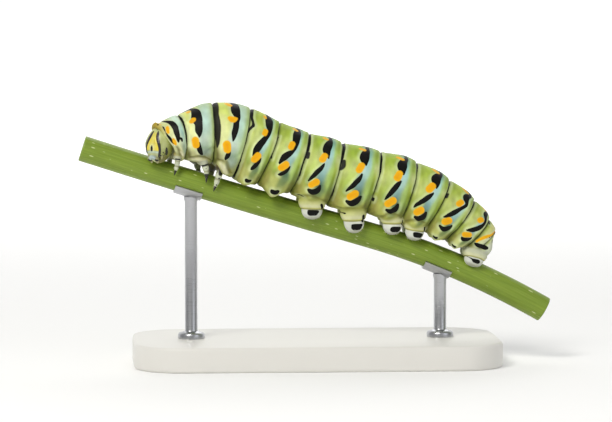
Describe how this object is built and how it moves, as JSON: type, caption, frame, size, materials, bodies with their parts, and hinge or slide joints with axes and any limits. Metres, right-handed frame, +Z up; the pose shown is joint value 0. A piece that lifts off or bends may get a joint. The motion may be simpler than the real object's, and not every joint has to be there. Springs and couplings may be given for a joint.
{
  "type": "black swallowtail larva",
  "caption": "Still, life-size model of a full-grown banded swallowtail larva gripping a short cut length of green stem, held over a small flat display base by two rods.",
  "frame": {"origin": "middle of the underside of the stand's base, on the surface that the model stands on", "axes": "+Z up; the larva's head points along -X, up the slope of the stem; its left flank, the one the picture shows, faces -Y"},
  "size_m": [0.0568, 0.022, 0.0313],
  "materials": {
    "larva_skin": "soft skin, smooth with a faint satin sheen",
    "head_shell": "hard shell, satin",
    "leg_shell": "hard shell, satin",
    "proleg_skin": "soft skin, satin",
    "stem_skin": "fresh green stem, satin",
    "stand_lacquer": "pale satin lacquer",
    "stand_steel": "brushed"
  },
  "bodies": {
    "root": {"thorax_1": "larva_skin", "thorax_2": "larva_skin", "thorax_3": "larva_skin", "abdomen_01": "larva_skin", "abdomen_02": "larva_skin", "abdomen_03": "larva_skin", "abdomen_04": "larva_skin", "abdomen_05": "larva_skin", "abdomen_06": "larva_skin", "abdomen_07": "larva_skin", "abdomen_08": "larva_skin", "abdomen_09": "larva_skin", "abdomen_10": "larva_skin", "head": "head_shell", "antenna_left": "head_shell", "antenna_right": "head_shell", "leg_1_left": "leg_shell", "leg_2_left": "leg_shell", "leg_3_left": "leg_shell", "proleg_3_left": "proleg_skin", "proleg_4_left": "proleg_skin", "proleg_5_left": "proleg_skin", "proleg_6_left": "proleg_skin", "proleg_anal_left": "proleg_skin", "leg_1_right": "leg_shell", "leg_2_right": "leg_shell", "leg_3_right": "leg_shell", "proleg_3_right": "proleg_skin", "proleg_4_right": "proleg_skin", "proleg_5_right": "proleg_skin", "proleg_6_right": "proleg_skin", "proleg_anal_right": "proleg_skin", "perch_stem": "stem_skin", "stand_base": "stand_lacquer", "stand_rod_front": "stand_steel", "stand_rod_rear": "stand_steel"}
  },
  "joints": []
}
